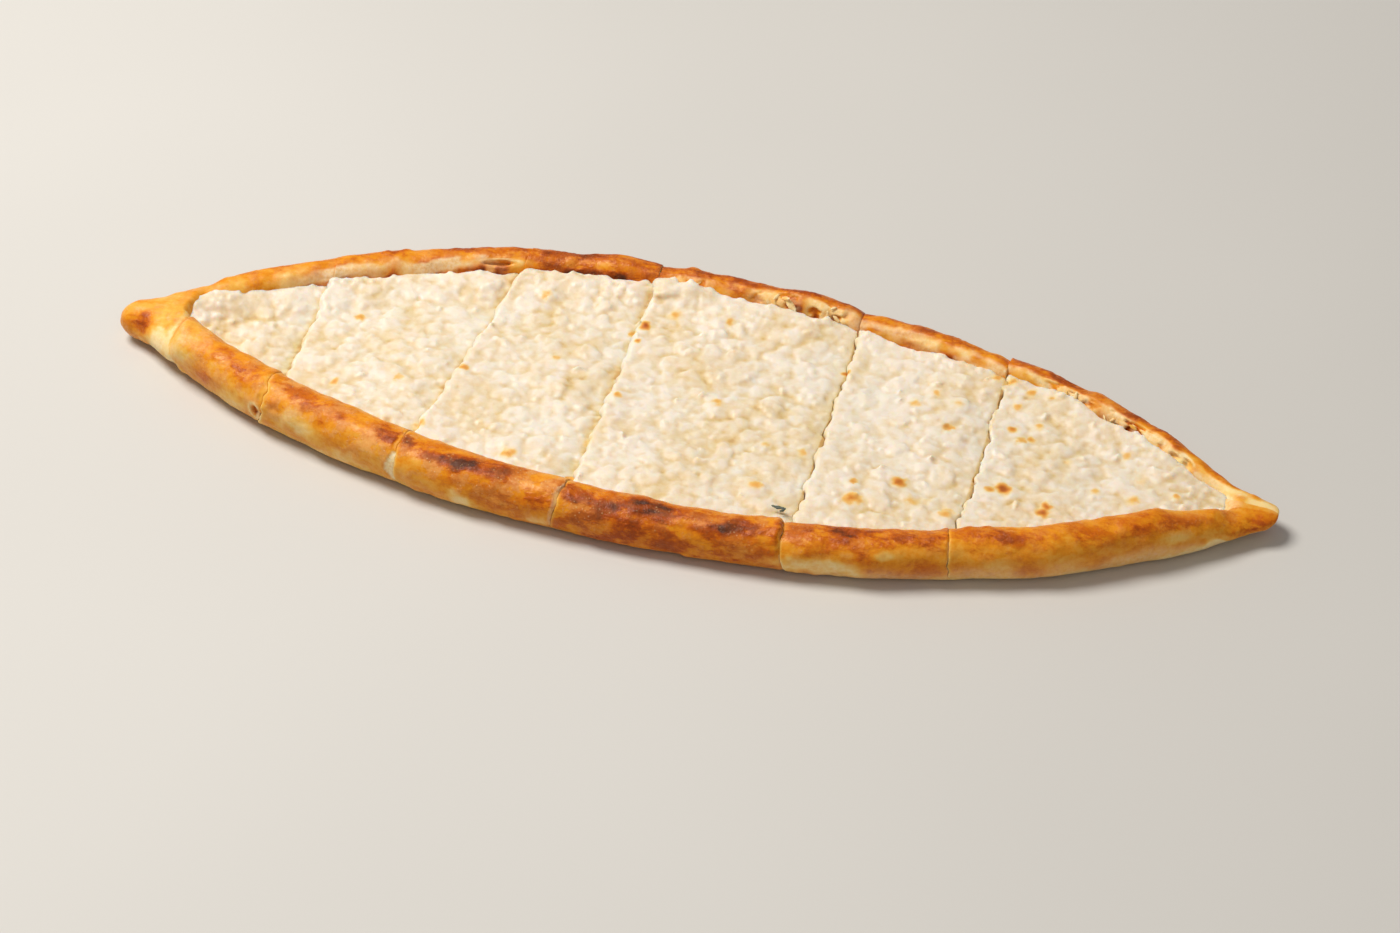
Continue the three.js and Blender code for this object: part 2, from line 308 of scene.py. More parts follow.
def lattice(i, j, seed):
    """A repeatable random number from 0 to 1 for each cell of a lattice."""
    n = (i * 374761393 + j * 668265263 + seed * 974711) & 0xFFFFFFFF
    n = ((n ^ (n >> 13)) * 1274126177) & 0xFFFFFFFF
    return ((n ^ (n >> 16)) & 0xFFFF) / 0xFFFF


def noise(x, y, size, seed):
    """Smooth noise from -1 to 1 with hills of about the given size."""
    u, v = np.broadcast_arrays(np.asarray(x, float) / size, np.asarray(y, float) / size)
    i = np.floor(u).astype(np.int64)
    j = np.floor(v).astype(np.int64)
    fu = smooth(0.0, 1.0, u - i)
    fv = smooth(0.0, 1.0, v - j)
    near = lerp(lattice(i, j, seed), lattice(i + 1, j, seed), fu)
    far = lerp(lattice(i, j + 1, seed), lattice(i + 1, j + 1, seed), fu)
    return 2.0 * lerp(near, far, fv) - 1.0


# Plan and cross-section

def from_tip(x):
    return np.maximum(HALF - np.abs(x), 0.0)


def tip(x, key):
    return np.where(x < 0, LEFT_TIP[key], RIGHT_TIP[key])


def rounding(x):
    share = np.minimum(from_tip(x) / tip(x, "nub"), 1.0)
    return np.sqrt(1.0 - (1.0 - share) ** 2)


def half_width(x):
    s = np.clip(x / HALF, -1.0, 1.0)
    boat = WIDTH / 2 * (1.0 - np.abs(s) ** FULLNESS) * (1.0 - SKEW * s)
    nub = tip(x, "nub") * rounding(x)
    return (boat ** 4 + nub ** 4) ** 0.25


def midline(x):
    s = x / HALF
    return (1.0 - s * s) * (BOW - LEAN * s) - SETBACK


def slant_at(x):
    return profile(x, [(-HALF, 0.0)] + [(cut["at"], cut["slant"]) for cut in CUTS] + [(HALF, 0.0)])


def taper(x):
    return np.minimum(1.0, lerp(tip(x, "thin"), 1.0, from_tip(x) / tip(x, "thin_reach")))


def front_radius(x):
    wave = np.cos(2.0 * math.pi * (x - WAVE_CREST) / WAVE_LENGTH)
    return (FRONT_ROLL - FRONT_DRIFT * x / HALF + FRONT_WAVE * wave) * taper(x)


def back_radius(x):
    return (BACK_ROLL - BACK_DRIFT * x / HALF) * taper(x)


def rounded_end(away, reach):
    """How far a rounded edge falls away, as a share of its reach."""
    off = np.clip(1.0 - away / reach, 0.0, 1.0)
    return 1.0 - np.sqrt(1.0 - off * off)


def trailing_off(past, most, reach):
    """A value that jumps to its most at an edge and trails off past it."""
    return np.where(past > 0, most * np.exp(-np.maximum(past, 0.0) / reach), 0.0)


def rim_step(x):
    """How much higher or lower the front rim stands beside a cut."""
    lift = np.zeros_like(x)
    for cut in CUTS:
        away = x - cut["at"]
        lift -= cut["step"] * np.sign(away) * np.exp(-np.abs(away) / STEP_REACH)
    return lift


def rim_dip(x):
    """How much lower the back rim lies to the right of a cut, and how it rounds off on the left."""
    depth = np.zeros_like(x)
    for cut in CUTS:
        past = x - cut["at"]
        depth += trailing_off(past, cut["dip"], DIP_REACH)
        depth += np.where(past < 0, cut["sag"] * rounded_end(-past, SAG_REACH), 0.0)
    for at, reach, height in BACK_SWELLS:
        depth -= height * smooth(1.0, 0.0, np.abs(x - at) / reach)
    return depth


def spread(x):
    """Shares of the last slice's spread at the front and at the back. Both fade towards the tip."""
    cut = CUTS[-1]["at"]
    fade = lerp(TIP_SHARE, 1.0, smooth(HALF, HALF - 45.0, x))
    front = fade * smooth(cut + 5.0, cut + 40.0, x)
    back = fade * np.where(x > cut, lerp(0.6, 1.0, smooth(cut, cut + 22.0, x)), 0.0)
    return front, back


def curl(x):
    bend = np.maximum(1.0 - from_tip(x) / tip(x, "curl_reach"), 0.0) ** 2
    return (tip(x, "curl") + np.where(x > 0, LAST_LIFT, 0.0)) * bend


def rounded(v):
    return np.sign(v) * np.abs(v) ** (2.0 / SQUARENESS)


def measures(x):
    """Sizes of the cross-section at stations x, each as a column."""
    slant = slant_at(x)
    front_x = x + slant * (midline(x) - half_width(x))
    back_x = x + slant * (midline(x) + half_width(x))
    front_share, back_share = spread(x)
    front = midline(front_x) - half_width(front_x) - LAST_FRONT * front_share
    back = midline(back_x) + half_width(back_x) + LAST_BACK * back_share
    front_roll = front_radius(front_x)
    back_roll = back_radius(back_x)
    hollow = back - front - 2.0 * (front_roll + back_roll)
    squeeze = np.minimum(1.0, (back - front - SLIT) / (2.0 * (front_roll + back_roll)))
    front_height = front_roll + rim_step(x) / 2
    back_height = back_roll - rim_dip(x) / 2
    full = smooth(0.0, FILL_RUN, tip(x, "closed") - hollow)
    lip = profile(x, LIP)
    sizes = dict(
        x=x, slant=slant, hollow=hollow, full=full, front=front, back=back, lip=lip,
        front_half=front_roll * squeeze, back_half=back_roll * squeeze,
        front_height=front_height, back_height=back_height, crest=front_height + back_height,
        front_wall=front + 2.0 * front_roll * squeeze,
        back_wall=back - (1.0 + lip) * back_roll * squeeze,
    )
    return {name: value[:, None] for name, value in sizes.items()}


def slice_ends(number, cracks):
    """Where a slice begins and ends, for cracks of the given widths."""
    start = -HALF + END_TRIM if number == 0 else CUTS[number - 1]["at"] + cracks[number - 1] / 2
    end = HALF - END_TRIM if number == SLICES - 1 else CUTS[number]["at"] - cracks[number] / 2
    return start, end


# Meshes

def closed_loft(name, rings, paired=False):
    """A closed mesh through rings of points that follow each other along +X. Its ends are one face,
    or a row of faces where each point of a ring's first half has a partner in its second half."""
    count, around = rings.shape[:2]
    index = np.arange(count * around).reshape(count, around)
    near = index[:-1]
    far = index[1:]
    quads = np.stack([near, far, np.roll(far, -1, 1), np.roll(near, -1, 1)], -1).reshape(-1, 4)
    ends = [index[0].tolist(), index[-1, ::-1].tolist()]
    if paired:
        rows = range(around // 2 - 1)
        ends = [[ring[k], ring[k + 1], ring[-2 - k], ring[-1 - k]] for ring in ends for k in rows]
    mesh = bpy.data.meshes.new(name)
    mesh.from_pydata((rings.reshape(-1, 3) * MM).tolist(), [], quads.tolist() + ends)
    mesh.update()
    return mesh


def store(mesh, name, values, domain="POINT", kind="FLOAT"):
    field = "vector" if kind == "FLOAT_VECTOR" else "value"
    column = mesh.attributes.new(name, kind, domain)
    column.data.foreach_set(field, np.asarray(values, np.float32).ravel())


def edges_of(mesh):
    flat = np.empty(len(mesh.edges) * 2, np.int32)
    mesh.edges.foreach_get("vertices", flat)
    return flat.reshape(-1, 2)


def points_of(mesh):
    flat = np.empty(len(mesh.vertices) * 3, np.float32)
    mesh.vertices.foreach_get("co", flat)
    return flat.reshape(-1, 3).astype(float) / MM


def place(name, mesh):
    piece = bpy.data.objects.new(name, mesh)
    bpy.context.scene.collection.objects.link(piece)
    return piece


def fuse(piece, voxel, rounds):
    """Melts what lies together in a piece into one skin and softens it."""
    melt = piece.modifiers.new("fuse", "REMESH")
    melt.mode = "VOXEL"
    melt.voxel_size = voxel * MM
    soften = piece.modifiers.new("soften", "SMOOTH")
    soften.factor = 0.5
    soften.iterations = rounds


def bake_modifiers(piece):
    """Turns what the modifiers make into the piece's own plain mesh."""
    shown = piece.evaluated_get(bpy.context.evaluated_depsgraph_get())
    mesh = bpy.data.meshes.new_from_object(shown)
    old = piece.data
    piece.modifiers.clear()
    piece.data = mesh
    mesh.name = piece.name
    bpy.data.meshes.remove(old)


def sharpen_ends(mesh, count, around, more):
    """Keeps the rings at the ends of a loft sharp, so that the cut faces don't bend the shading."""
    ring = edges_of(mesh) // around
    first = (ring == more[0]).all(1)
    last = (ring == count - 1 - more[1]).all(1)
    sharp = mesh.attributes.new("sharp_edge", "BOOLEAN", "EDGE")
    sharp.data.foreach_set("value", first | last)


def shade_smooth(mesh):
    mesh.polygons.foreach_set("use_smooth", np.ones(len(mesh.polygons), bool))


# Node trees

def srgb(red, green, blue):
    """A colour given as on a screen, from 0 to 255, as the shader takes it."""
    shares = [value / 255 for value in (red, green, blue)]
    linear = [s / 12.92 if s <= 0.04045 else ((s + 0.055) / 1.055) ** 2.4 for s in shares]
    return (*linear, 1.0)


class Wire:
    """An output of a node. A sum with it adds the node that works the sum out."""

    def __init__(self, nodes, socket):
        self.nodes = nodes
        self.socket = socket

    def __add__(self, other):
        return self.nodes.math("ADD", self, other)

    def __sub__(self, other):
        return self.nodes.math("SUBTRACT", self, other)

    def __mul__(self, other):
        return self.nodes.math("MULTIPLY", self, other)


class Nodes:
    """Short calls to add nodes to a tree and to join them."""

    def __init__(self, tree):
        self.tree = tree

    def feed(self, node, inputs):
        """Joins or sets the inputs of a node."""
        for key, value in inputs.items():
            if isinstance(value, Wire):
                self.tree.links.new(value.socket, node.inputs[key])
            else:
                node.inputs[key].default_value = value

    def add(self, kind, inputs, **settings):
        node = self.tree.nodes.new(kind)
        for name, value in settings.items():
            setattr(node, name, value)
        self.feed(node, inputs)
        return node

    def out(self, kind, inputs, output=0, **settings):
        """Adds a node and gives one of its outputs."""
        return Wire(self, self.add(kind, inputs, **settings).outputs[output])

    def math(self, operation, a, b):
        return self.out("ShaderNodeMath", {0: a, 1: b}, operation=operation)

    def vector(self, operation, a, b):
        return self.out("ShaderNodeVectorMath", {0: a, 1: b}, operation=operation)

    def scaled(self, vector, scale):
        return self.out("ShaderNodeVectorMath", {0: vector, "Scale": scale}, operation="SCALE")

    def xyz(self, x, y, z):
        return self.out("ShaderNodeCombineXYZ", {0: x, 1: y, 2: z})

    def part(self, vector, axis):
        return self.out("ShaderNodeSeparateXYZ", {0: vector}, axis)

    def span(self, value, low, high, to_low=0.0, to_high=1.0):
        """Takes a value from one range to another, smoothly and without passing its ends."""
        inputs = {"Value": value, 1: low, 2: high, 3: to_low, 4: to_high}
        return self.out("ShaderNodeMapRange", inputs, interpolation_type="SMOOTHSTEP")

    def grain(self, vector, size, detail=2.0, roughness=0.5, distortion=0.0):
        """Noise from about 0 to 1 with hills of about the given size in metres."""
        scale = self.math("DIVIDE", 1.0, size) if isinstance(size, Wire) else 1.0 / size
        inputs = {"Vector": vector, "Scale": scale, "Detail": detail, "Roughness": roughness,
                  "Distortion": distortion}
        return self.out("ShaderNodeTexNoise", inputs)

    def cells(self, vector, scale):
        """How far each spot is from the middle of its cell, and a random vector for the cell."""
        inputs = {"Vector": vector, "Scale": scale, "Randomness": 1.0}
        node = self.add("ShaderNodeTexVoronoi", inputs)
        return Wire(self, node.outputs["Distance"]), Wire(self, node.outputs["Color"])

    def ramp(self, value, stops):
        """Colours for a value: each stop has a place, and a red, green and blue as on a screen."""
        node = self.add("ShaderNodeValToRGB", {0: value})
        elements = node.color_ramp.elements
        while len(elements) < len(stops):
            elements.new(0.5)
        for element, (position, *colour) in zip(elements, stops):
            element.position = position
            element.color = srgb(*colour)
        return Wire(self, node.outputs[0])

    def mix(self, share, a, b):
        return self.out("ShaderNodeMix", {0: share, 6: a, 7: b}, 2, data_type="RGBA")

    def named(self, name, kind="FLOAT"):
        return self.out("GeometryNodeInputNamedAttribute", {"Name": name}, data_type=kind)

    def draw(self, low, high, seed):
        """A random number for each point, or a random vector between two tuples."""
        if isinstance(low, tuple):
            inputs = {0: low, 1: high, "Seed": seed}
            return self.out("FunctionNodeRandomValue", inputs, data_type="FLOAT_VECTOR")
        return self.out("FunctionNodeRandomValue", {2: low, 3: high, "Seed": seed}, 1)

    def moved(self, geometry, offset):
        return self.out("GeometryNodeSetPosition", {"Geometry": geometry, "Offset": offset})

    def turned(self, rotation, angles):
        euler = self.out("FunctionNodeEulerToRotation", {0: angles})
        inputs = {0: rotation, 1: euler}
        return self.out("FunctionNodeRotateRotation", inputs, rotation_space="LOCAL")

    def laid(self, points, instance, rotation, scale):
        inputs = {"Points": points, "Instance": instance, "Rotation": rotation, "Scale": scale}
        return self.out("GeometryNodeInstanceOnPoints", inputs)


def geometry_tree(name, sizes, texts=()):
    """A new Geometry Nodes tree. Its inputs are a geometry, the named sizes and texts, a seed and a
    material."""
    tree = bpy.data.node_groups.new(name, "GeometryNodeTree")
    inputs = [("Geometry", "Geometry")] + [(size, "Float") for size in sizes]
    inputs += [(text, "String") for text in texts] + [("Seed", "Int"), ("Material", "Material")]
    for label, kind in inputs:
        tree.interface.new_socket(label, in_out="INPUT", socket_type=f"NodeSocket{kind}")
    tree.interface.new_socket("Geometry", in_out="OUTPUT", socket_type="NodeSocketGeometry")
    nodes = Nodes(tree)
    sockets = nodes.add("NodeGroupInput", {}).outputs
    return nodes, {socket.name: Wire(nodes, socket) for socket in sockets}


def end_tree(nodes, geometry, material):
    real = nodes.out("GeometryNodeRealizeInstances", {"Geometry": geometry})
    dressed = nodes.out("GeometryNodeSetMaterial", {"Geometry": real, "Material": material})
    nodes.add("NodeGroupOutput", {"Geometry": dressed})
    return nodes.tree


def add_tree(piece, tree, values):
    modifier = piece.modifiers.new(tree.name, "NODES")
    modifier.node_group = tree
    for item in tree.interface.items_tree:
        if item.in_out == "INPUT" and item.name in values:
            modifier[item.identifier] = values[item.name]


def seeded_spot(nodes, given):
    """Where each point is, and the same moved along X by the seed, for noise."""
    position = nodes.out("GeometryNodeInputPosition", {})
    return position, nodes.vector("ADD", position, nodes.xyz(given["Seed"], 0.0, 0.0))


def scatter(nodes, given, most):
    """Points spread over a mesh where the attribute that is named in Where is high, and the turn
    that lays a thing flat at each."""
    node = nodes.add("GeometryNodeDistributePointsOnFaces", {
        "Mesh": given["Geometry"], "Distance Min": given["Spacing"], "Density Max": most,
        "Density Factor": nodes.named(given["Where"]), "Seed": given["Seed"],
    }, distribute_method="POISSON")
    return Wire(nodes, node.outputs["Points"]), Wire(nodes, node.outputs["Rotation"])


# Finishes

def new_finish(name):
    material = bpy.data.materials.new(name)
    material.use_nodes = True
    nodes = Nodes(material.node_tree)
    shader = material.node_tree.nodes["Principled BSDF"]
    return material, nodes, shader, nodes.out("ShaderNodeTexCoord", {}, "Object")


def attribute(nodes, name):
    return nodes.out("ShaderNodeAttribute", {}, "Fac", attribute_name=name)


def crust_finish():
    """Golden crust, baked darker in blotches, dull and beaded where it is dry, with painted sheen on
    the dull patches and painted glints on the beads. Bare dough shows at the cuts and tears, and the
    cut faces are lightened with painted light."""
    material, nodes, shader, spot = new_finish("golden_crust")
    toast = attribute(nodes, "toast")
    dryness_and_sheen = attribute(nodes, "dryness_and_sheen")
    cut = attribute(nodes, "cut_face")
    bare = nodes.math("MAXIMUM", attribute(nodes, "crumb"), cut)
    broad = nodes.grain(spot, 0.020, 3.0, 0.5)
    streak = nodes.grain(nodes.vector("MULTIPLY", spot, (0.5, 1.0, 1.0)), 0.006, 5.0, 0.65)
    speck = nodes.grain(spot, 0.0018, 3.0, 0.65)
    crisp = nodes.span(toast, 0.40, 0.64, 0.10, 0.26)
    brown = toast
    for pattern, share in ((broad, 0.45), (nodes.span(streak, 0.40, 0.60), crisp), (speck, 0.26)):
        brown = brown + (pattern - 0.5) * share
    golden = nodes.ramp(brown, [
        (0.00, 248, 216, 148), (0.20, 243, 186, 82), (0.40, 231, 146, 26), (0.56, 206, 106, 8),
        (0.70, 172, 76, 10), (0.85, 144, 62, 10), (1.00, 84, 42, 24),
    ])
    # Dull, dry skin in pink and tan, which also stands as painted sheen
    dull = nodes.ramp(brown, [
        (0.05, 250, 218, 164), (0.30, 238, 174, 104), (0.55, 208, 122, 46), (0.75, 164, 86, 30),
        (1.00, 98, 52, 28),
    ])
    tatter = nodes.grain(spot, 0.010, 6.0, 0.70)
    dry = nodes.span(tatter, 0.49, 0.56) * dryness_and_sheen
    distance, draw = nodes.cells(spot, 760.0)
    bead_glint = nodes.span(distance, 0.36, 0.12) * nodes.span(nodes.part(draw, 0), 0.35, 0.7)
    bead_glint = bead_glint * (dryness_and_sheen * nodes.span(tatter, 0.46, 0.60))
    golden = nodes.mix(dry * 0.8, golden, dull)
    # Painted highlight: the beads are lightened to pale glints, partly pale blisters
    golden = nodes.mix(bead_glint * 0.40, golden, srgb(254, 218, 160))
    pores = nodes.grain(spot, 0.0016, 3.0, 0.65)
    dough = nodes.ramp(pores, [(0.25, 234, 186, 118), (0.50, 248, 220, 166), (0.75, 254, 238, 204)])
    # Painted light: the cut faces get a light dough colour so that they look lit in the shaded cracks
    dough = nodes.mix(cut, dough, srgb(254, 222, 160))
    rough = speck + bare * 0.6 + dry * 0.25 - bead_glint
    crinkle = nodes.grain(spot, 0.0030, 4.0, 0.6, 1.2)
    skin = crinkle * nodes.span(brown, 0.35, 0.8, 0.25, 1.0) + bead_glint * 0.25 + dry * 0.12
    nodes.feed(shader, {
        "Base Color": nodes.mix(bare, golden, dough),
        "Roughness": nodes.span(rough, 0.2, 1.0, 0.24, 0.6),
        "Specular IOR Level": 0.2,
        "Subsurface Weight": 0.12,
        "Subsurface Radius": (1.0, 0.5, 0.2),
        "Subsurface Scale": 0.002,
        "Normal": nodes.out("ShaderNodeBump", {"Height": skin, "Strength": 0.65, "Distance": 0.0009}),
    })
    return material


def cheese_finish():
    """Creamy cheese, tinted darker and yellower in its hollows and by the cuts as painted shade, which
    in the hollows is also the yellower melt, with pale gold flecks and the toasted spots.
    """
    material, nodes, shader, spot = new_finish("baked_cheese")
    grain = nodes.grain(spot, 0.0024, 3.0, 0.55)
    patch = nodes.grain(spot, 0.017, 3.0, 0.5, 0.4)
    fleece = nodes.grain(spot, 0.0045, 3.0, 0.55)
    # Painted shade and yellower melt in the hollows, and painted shade by the cuts, from the stored
    # hollow
    deep = attribute(nodes, "hollow") * 0.62
    for pattern, share in ((patch, 1.35), (fleece, 0.65), (grain, 0.25)):
        deep = deep + (pattern - 0.445) * share
    cream = nodes.ramp(deep, [
        (0.05, 237, 226, 210), (0.35, 232, 214, 184), (0.70, 225, 198, 145), (1.00, 202, 158, 96),
    ])
    bend = nodes.xyz(nodes.grain(spot, 0.004, 2.0, 0.5) - 0.5, grain - 0.5, 0.0)
    distance, draw = nodes.cells(nodes.vector("ADD", spot, nodes.scaled(bend, 0.004)), 72.0)
    fleck = nodes.span(nodes.part(draw, 0) * 0.27 - distance, -0.12, 0.16)
    fleck = fleck * nodes.span(nodes.part(draw, 1), 0.35, 1.0, 0.12, 0.66)
    burn = nodes.math("MAXIMUM", attribute(nodes, "toast"), fleck) + (grain - 0.5) * 0.2
    roast = nodes.ramp(burn, [
        (0.10, 236, 217, 176), (0.28, 237, 205, 138), (0.46, 232, 180, 94), (0.66, 216, 138, 50),
        (0.90, 174, 88, 20),
    ])
    skin = nodes.grain(spot, 0.0013, 3.0, 0.6)
    nodes.feed(shader, {
        "Base Color": nodes.mix(nodes.span(burn, 0.04, 0.44), cream, roast),
        "Roughness": nodes.span(grain, 0.25, 0.75, 0.36, 0.55),
        "Specular IOR Level": 0.4,
        "Subsurface Weight": 0.9,
        "Subsurface Radius": (1.0, 0.75, 0.45),
        "Subsurface Scale": 0.0034,
        "Normal": nodes.out("ShaderNodeBump", {"Height": skin, "Strength": 0.3, "Distance": 0.0005}),
    })
    return material


def plain_finish(name, size, stops):
    """A matt finish that wavers between a few like colours."""
    material, nodes, shader, spot = new_finish(name)
    nodes.feed(shader, {"Base Color": nodes.ramp(nodes.grain(spot, size), stops), "Roughness": 0.6})
    return material


# Crust

FRONT_TURN = np.linspace(0.0, ROLL_END, FRONT_POINTS)[None]
BACK_TURN = np.linspace(ROLL_END, 0.0, BACK_POINTS)[None]
FRONT = slice(0, FRONT_POINTS)
FLOOR = slice(FRONT_POINTS, FRONT_POINTS + FLOOR_POINTS)
BACK = slice(FLOOR.stop, FLOOR.stop + BACK_POINTS)
UNDER = slice(-UNDER_POINTS, None)


def roll(edge, half, height, turn, side, trim, lip=1.0):
    """Points around a roll: turn is 0 at its foot, a half at its outside and 1 at its crest."""
    angle = turn * math.pi
    inner = np.where(turn > 1.0, lip, 1.0)
    y = edge + side * (half - (half - trim) * inner * rounded(np.sin(angle)))
    z = height - (height - trim) * rounded(np.cos(angle))
    return y, z


def nub_outline(m, turn, side):
    """The same points where the tip has closed to one rounded end."""
    middle = (m["front"] + m["back"]) / 2
    half = (m["back"] - m["front"]) / 2
    lift = np.radians(lerp(-75.0, 82.0, turn / ROLL_END))
    return middle - side * half * np.cos(lift), m["crest"] / 2 * (1.0 + np.sin(lift))


def past_fold(x, turn):
    """How far points lie to the right of the wavy edge of the left fold."""
    return x - FOLD_AT - 1.2 * np.sin(turn * 5.0)


def fold_lip(x, turn):
    """The step where the end of the front roll laps over the left tip."""
    past = past_fold(x, turn)
    lip = FOLD_STEP * smooth(-0.4, 2.8, past) * np.exp(-np.maximum(past - 2.8, 0.0) / FOLD_REACH)
    groove = -FOLD_GROOVE * np.exp(-(past + 1.0) ** 2 / 2.0)
    return (lip + groove) * smooth(0.38, 0.75, turn) * smooth(1.45, 1.1, turn)


def blank(x, turn):
    """Zeros for each station and each point around a roll."""
    return np.zeros(np.broadcast(x, turn).shape)


def browning(marks, x, turn, seed):
    """Adds up the marks of a rim: how much darker it is baked, and how much paler."""
    degrees = turn * 180.0
    dark = blank(x, turn)
    pale = blank(x, turn)
    ragged = 0.45 * noise(x, degrees / 6.0, 5.0, seed) + 0.2 * noise(x, degrees / 6.0, 2.0, seed + 1)
    for at, around, length, reach, strength in marks:
        near = np.hypot((x - at) / length, (degrees - around) / reach)
        sum_up = dark if strength > 0 else pale
        sum_up += abs(strength) * smooth(1.4, 0.2, near + ragged)
    return dark, pale


def holes(marks, x, turn):
    """Depth of the holes in a rim, the painted shade inside them and how pale their torn edges are."""
    degrees = turn * 180.0
    depth = blank(x, turn)
    dark = blank(x, turn)
    pale = blank(x, turn)
    for at, around, length, reach, deep in marks:
        ragged = 0.25 * noise(x, degrees / 5.0, 3.0, int(around))
        near = np.hypot((x - at) / length, (degrees - around) / reach) + ragged
        depth += deep * smooth(1.0, 0.55, near)
        # Painted shade inside each hole
        dark += smooth(0.95, 0.6, near)
        pale += bell(near - 1.3, 0.28)
    return depth, dark, pale


def stretches(marks, x, full):
    """The strongest of some stretches along the bread. Each is full up to a share of its length."""
    share = np.zeros_like(x)
    for at, reach, most in marks:
        share = np.maximum(share, most * smooth(1.0, full, np.abs(x - at) / reach))
    return share


def crevice(x):
    """Width of the crevice between the cheese and the back rim."""
    ragged = 0.75 + 0.8 * noise(x, 0.0, 6.0, 21) + 0.5 * noise(x, 0.0, 2.6, 22)
    return stretches(CREVICES, x, 0.4) * np.clip(ragged, 0.0, 1.6)


def torn(x):
    """How torn the inner face of the back lip is."""
    return stretches(TEARS, x, 0.5)


def lace(x, turn):
    """Depth of the gaps between torn strands of dough on the back lip, and how torn it is."""
    share = torn(x) * smooth(1.04, 1.12, turn)
    around = turn * 26.0
    strands = noise(x + 0.5 * around, around, 3.4, 55) + 0.5 * noise(x, around, 1.8, 56)
    return LACE_DEPTH * share * smooth(0.0, 0.5, strands), share


def tip_stations(end, nub, sign):
    """Stations that crowd together towards the very end of a tip."""
    return end + sign * nub * np.linspace(0.015, 1.0, TIP_STATIONS) ** 2


def crust_stations(number):
    """Stations along a slice, closer together at its ends."""
    start, end = slice_ends(number, [CRUST_CRACK] * len(CUTS))
    places = np.linspace(start, end, int((end - start) / STATION))
    close = np.linspace(0.0, 1.0, EDGE_STATIONS) ** 2 * 2.0
    left = start + close if number > 0 else tip_stations(-HALF, LEFT_TIP["nub"], 1)
    right = end - close if number < SLICES - 1 else tip_stations(HALF, RIGHT_TIP["nub"], -1)
    inner = places[(places > left.max() + 0.3) & (places < right.min() - 0.3)]
    return np.concatenate([np.sort(left), inner, np.sort(right)])


def lens(turn, low, high):
    """Grows from 0 at low to 1 in the middle and back to 0 at high, as a lens does."""
    off = (turn - (low + high) / 2) / ((high - low) / 2)
    return np.sqrt(np.clip(1.0 - off * off, 0.0, 1.0))


def cut_sides(number, x):
    """The cuts at the left and the right end of a slice, with how far stations lie from each."""
    sides = ((number - 1, x - x[0]), (number, x[-1] - x))
    return [(index, away) for index, away in sides if 0 <= index < len(CUTS)]


def crack_edges(number, x, turn):
    """Moves the ends of a slice along the bread as the cracks lean and wander."""
    shift = blank(x, turn)
    around = turn * 30.0
    for index, away in cut_sides(number, x):
        cut = CUTS[index]
        seed = int(abs(cut["at"]))
        wander = noise(around, 0.0, 5.0, seed) + 0.6 * noise(around, 0.0, 2.0, seed + 1)
        lean = cut["off"] + cut["lean"] * (np.clip(turn, 0.3, 1.2) - 0.75)
        shift += np.exp(-away / CRACK_REACH) * (lean + 0.6 * cut["wander"] * wander)
    return shift * smooth(ROLL_END, 1.3, turn)


def worn_edge(number, x, left, right):
    """How far the edges of a slice are rounded off on the left and on the right of the cuts."""
    trim = np.zeros_like(x)
    if number > 0:
        trim += right * rounded_end(x - x[0], right)
    if number < SLICES - 1:
        trim += left * rounded_end(x[-1] - x, left)
    return trim


def strip_at(x, turn, width, low, high, seed):
    """Share of a strip in the shape of a lens beside the cut at the right end of a slice."""
    edge = width * lens(turn, low, high) * (0.9 + 0.25 * noise(turn * 30.0, 0.0, 4.0, seed)) + 0.02
    return smooth(edge, edge * 0.85, x[-1] - x)


def cut_strips(number, x, turn):
    """Shares of the bare dough and of the golden groove at the right end of a slice, and of the pale
    ridge at its left end."""
    bare = groove = ridge = blank(x, turn)
    if number < SLICES - 1:
        bare = strip_at(x, turn, *CUTS[number]["bare"], 90 + number)
        groove = strip_at(x, turn, *CUTS[number]["groove"], 95 + number)
    if number > 0:
        ridge = bell(x - x[0], 0.9) * between(0.2, 0.4, 1.1, 1.3, turn)
    return bare, groove, ridge


def ring_normals(y, z):
    """Directions out of each ring, in its own plane."""
    dy = np.roll(y, -1, 1) - np.roll(y, 1, 1)
    dz = np.roll(z, -1, 1) - np.roll(z, 1, 1)
    length = np.maximum(np.hypot(dy, dz), 1e-6)
    return np.stack([np.zeros_like(y), -dz / length, dy / length], -1)


def crust_section(number, m, sunk, worn):
    """Points across the crust at each station: the front roll, the floor, the back roll and the
    underside."""
    x = m["x"]
    trim = sunk - fold_lip(x, FRONT_TURN) + worn_edge(number, x, worn, WORN_RIGHT)
    front = roll(m["front"], m["front_half"], m["front_height"], FRONT_TURN, 1, trim)
    trim = worn_edge(number, x, WORN_BACK, WORN_BACK)
    back = roll(m["back"], m["back_half"], m["back_height"], BACK_TURN, -1, trim, m["lip"])
    fy, fz = [lerp(a, b, m["full"]) for a, b in zip(front, nub_outline(m, FRONT_TURN, 1))]
    by, bz = [lerp(a, b, m["full"]) for a, b in zip(back, nub_outline(m, BACK_TURN, -1))]
    across = np.linspace(0.0, 1.0, FLOOR_POINTS + 2)[None, 1:-1]
    floor_y = lerp(fy[:, -1:], by[:, :1], across)
    early = np.where(x > 0, CLOSE_EARLY * np.abs(2.0 * across - 1.0), 0.0)
    shut = smooth(0.0, FILL_RUN, tip(x, "closed") + early - m["hollow"])
    floor_z = lerp(DOUGH, (fz[:, -1:] + bz[:, :1]) / 2, shut)
    below = np.linspace(0.0, 1.0, UNDER_POINTS + 2)[None, 1:-1]
    under_y = lerp(by[:, -1:], fy[:, :1], below)
    under_z = lerp(bz[:, -1:], fz[:, :1], below)
    y = np.concatenate([fy, floor_y, by, under_y], 1)
    z = np.concatenate([fz, floor_z, bz, under_z], 1)
    heart = tip(x, "heart")
    return y, heart + (z - heart) * rounding(x) + curl(x)


